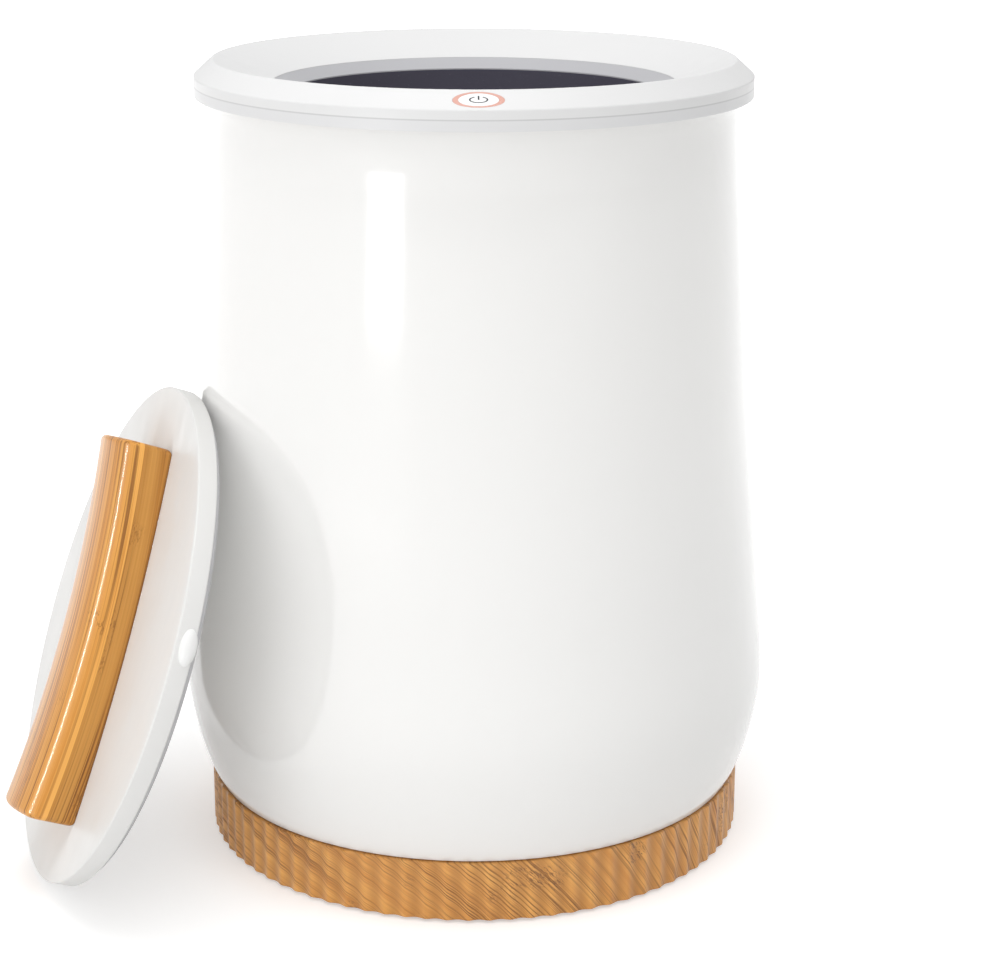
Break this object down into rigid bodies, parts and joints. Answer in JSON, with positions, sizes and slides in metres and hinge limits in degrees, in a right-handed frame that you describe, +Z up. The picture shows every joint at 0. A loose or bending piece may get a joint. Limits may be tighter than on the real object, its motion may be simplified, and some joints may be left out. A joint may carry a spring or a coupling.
{
  "type": "towel warmer bucket",
  "caption": "Round heated towel bucket with a flared rim, fluted bamboo base ring, power button and a dished lid with a bamboo handle leaned against its side.",
  "frame": {"origin": "on the bucket's axis, at the level of the floor under its foot ring", "axes": "+Z up along the bucket's axis, -Y to the front with the power button, +X to the right seen from the front"},
  "size_m": [0.3983, 0.3348, 0.4083],
  "materials": {
    "shell_white": "gloss",
    "button_white": "gloss",
    "lip_grey": "satin",
    "symbol_grey": "satin",
    "indicator_red": "satin, lets light through",
    "bamboo_ring": "lacquered bamboo, reeded",
    "bamboo_handle": "lacquered bamboo, gloss",
    "chamber_coat": "dark non-stick coating",
    "heater_foil": "foil",
    "felt_grey": "needled felt",
    "ceramic_white": "matt",
    "plain_steel": "zinc plated",
    "thread_brass": "plain",
    "board_green": "solder mask",
    "black_plastic": "matt",
    "relay_blue": "satin",
    "capacitor_yellow": "satin",
    "terminal_green": "matt",
    "led_clear": "clear lens",
    "ribbon_grey": "flexible",
    "inner_white": "matt",
    "base_grey": "matt",
    "lead_red": "silicone",
    "gasket_grey": "silicone",
    "foot_black": "matt",
    "bumper_white": "smooth silicone"
  },
  "bodies": {
    "bucket": {"outer_shell": "shell_white", "rim_collar": "shell_white", "rim_bezel": "shell_white", "mouth_ring": "lip_grey", "rim_screws": "plain_steel", "light_ring": "indicator_red", "button_housing": "inner_white", "control_board": "board_green", "control_board_screws": "plain_steel", "tact_switch": "black_plastic", "indicator_leds": "led_clear", "inner_bucket": "chamber_coat", "heating_band": "heater_foil", "insulation_sleeve": "felt_grey", "insulation_pad": "felt_grey", "thermostat": "ceramic_white", "fuse_holder": "ceramic_white", "thermal_fuse": "plain_steel", "sensor_bracket": "plain_steel", "bracket_nuts": "plain_steel", "base_ring": "bamboo_ring", "base_plate": "base_grey", "foot_ring": "foot_black", "base_screws": "plain_steel", "cord_gland": "black_plastic", "gland_nut": "black_plastic", "power_board": "board_green", "board_screws": "plain_steel", "power_relay": "relay_blue", "film_capacitor": "capacitor_yellow", "terminal_block": "terminal_green", "ribbon_socket": "inner_white", "control_ribbon": "ribbon_grey", "ribbon_clips": "inner_white", "heater_leads": "lead_red"},
    "button": {"button_cap": "button_white", "power_symbol": "symbol_grey", "switch_plunger": "black_plastic"},
    "lid": {"lid_cover": "shell_white", "lid_liner": "inner_white", "liner_screws": "plain_steel", "lid_gasket": "gasket_grey", "lid_insulation": "felt_grey", "lid_handle": "bamboo_handle", "handle_inserts": "thread_brass", "handle_screws": "plain_steel", "lid_bumper": "bumper_white"}
  },
  "joints": [
    {"name": "button_press", "type": "slide", "parent": "bucket", "child": "button", "axis": [0, 0.6699, -0.7425], "range_m": [0, 0.0008], "stiffness_N_per_m": 1200, "springref_m": -0.0008},
    {"name": "lid_lift", "type": "slide", "parent": "bucket", "child": "lid", "axis": [0, 0, 1], "range_m": [0, 0.43]}
  ]
}
